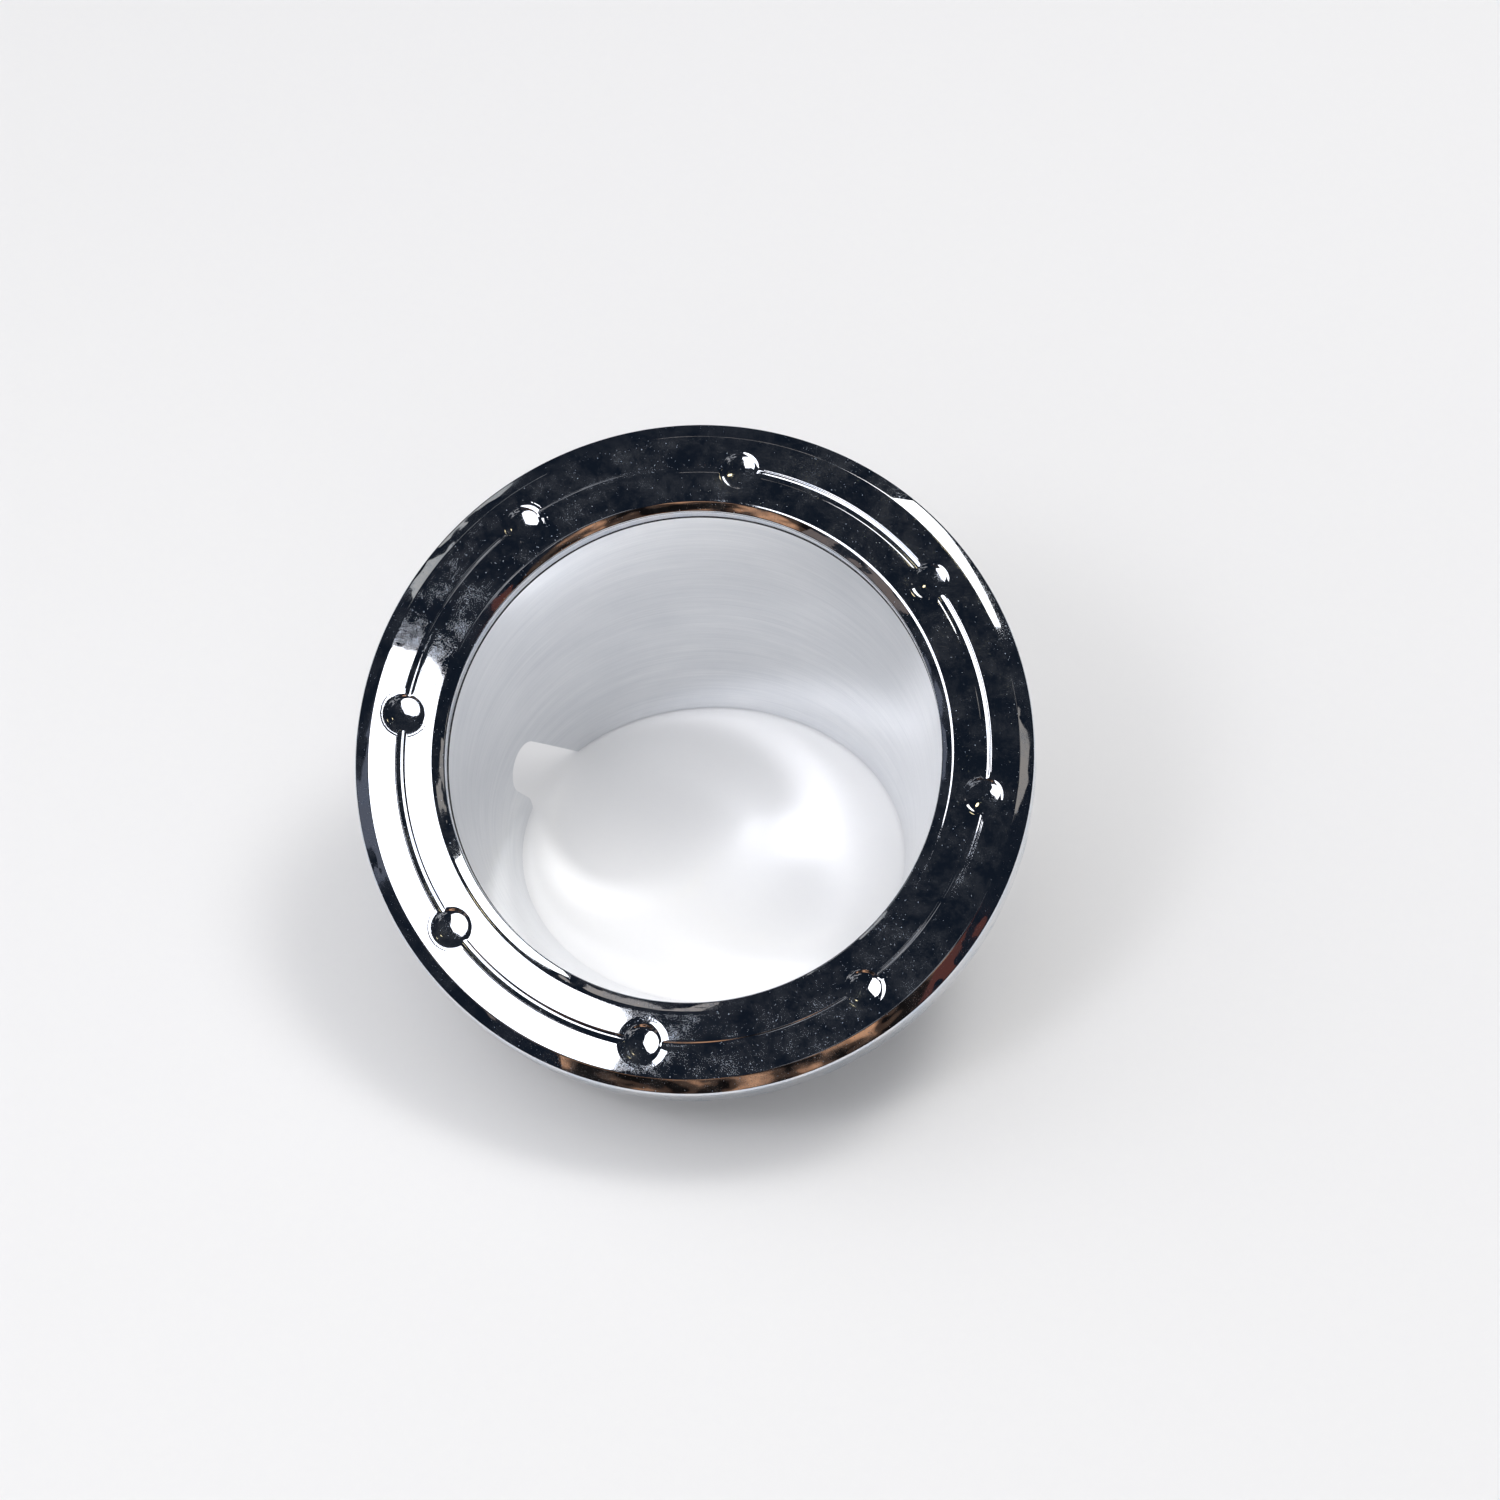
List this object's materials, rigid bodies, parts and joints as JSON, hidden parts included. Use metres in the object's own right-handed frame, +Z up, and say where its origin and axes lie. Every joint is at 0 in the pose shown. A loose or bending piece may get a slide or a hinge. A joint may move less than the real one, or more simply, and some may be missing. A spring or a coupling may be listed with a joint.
{
  "type": "fairlead chock",
  "caption": "Round raked through-bulwark fairlead: chromed face ring with dished dimples joined by a groove, over a tapered satin sleeve with an open, slotted foot.",
  "frame": {"origin": "centre of the footprint, on the plane the sleeve's foot stands on", "axes": "+Z up from the foot plane, -Y towards the low side of the raked ring, +X to the right seen from the low side"},
  "size_m": [0.15, 0.135, 0.0976],
  "materials": {
    "ring_chrome": "mirror polished, finely worn",
    "stud_steel": "plain, rolled thread",
    "sleeve_satin": "satin, spun round the axis",
    "washer_steel": "plain",
    "nut_steel": "plain",
    "seal_rubber": "matt",
    "gasket_rubber": "matt"
  },
  "bodies": {
    "root": {"face_ring": "ring_chrome", "studs": "stud_steel", "sleeve_seal": "seal_rubber", "sleeve": "sleeve_satin", "washers": "washer_steel", "keeper_nuts": "nut_steel", "bedding_gasket": "gasket_rubber"}
  },
  "joints": []
}
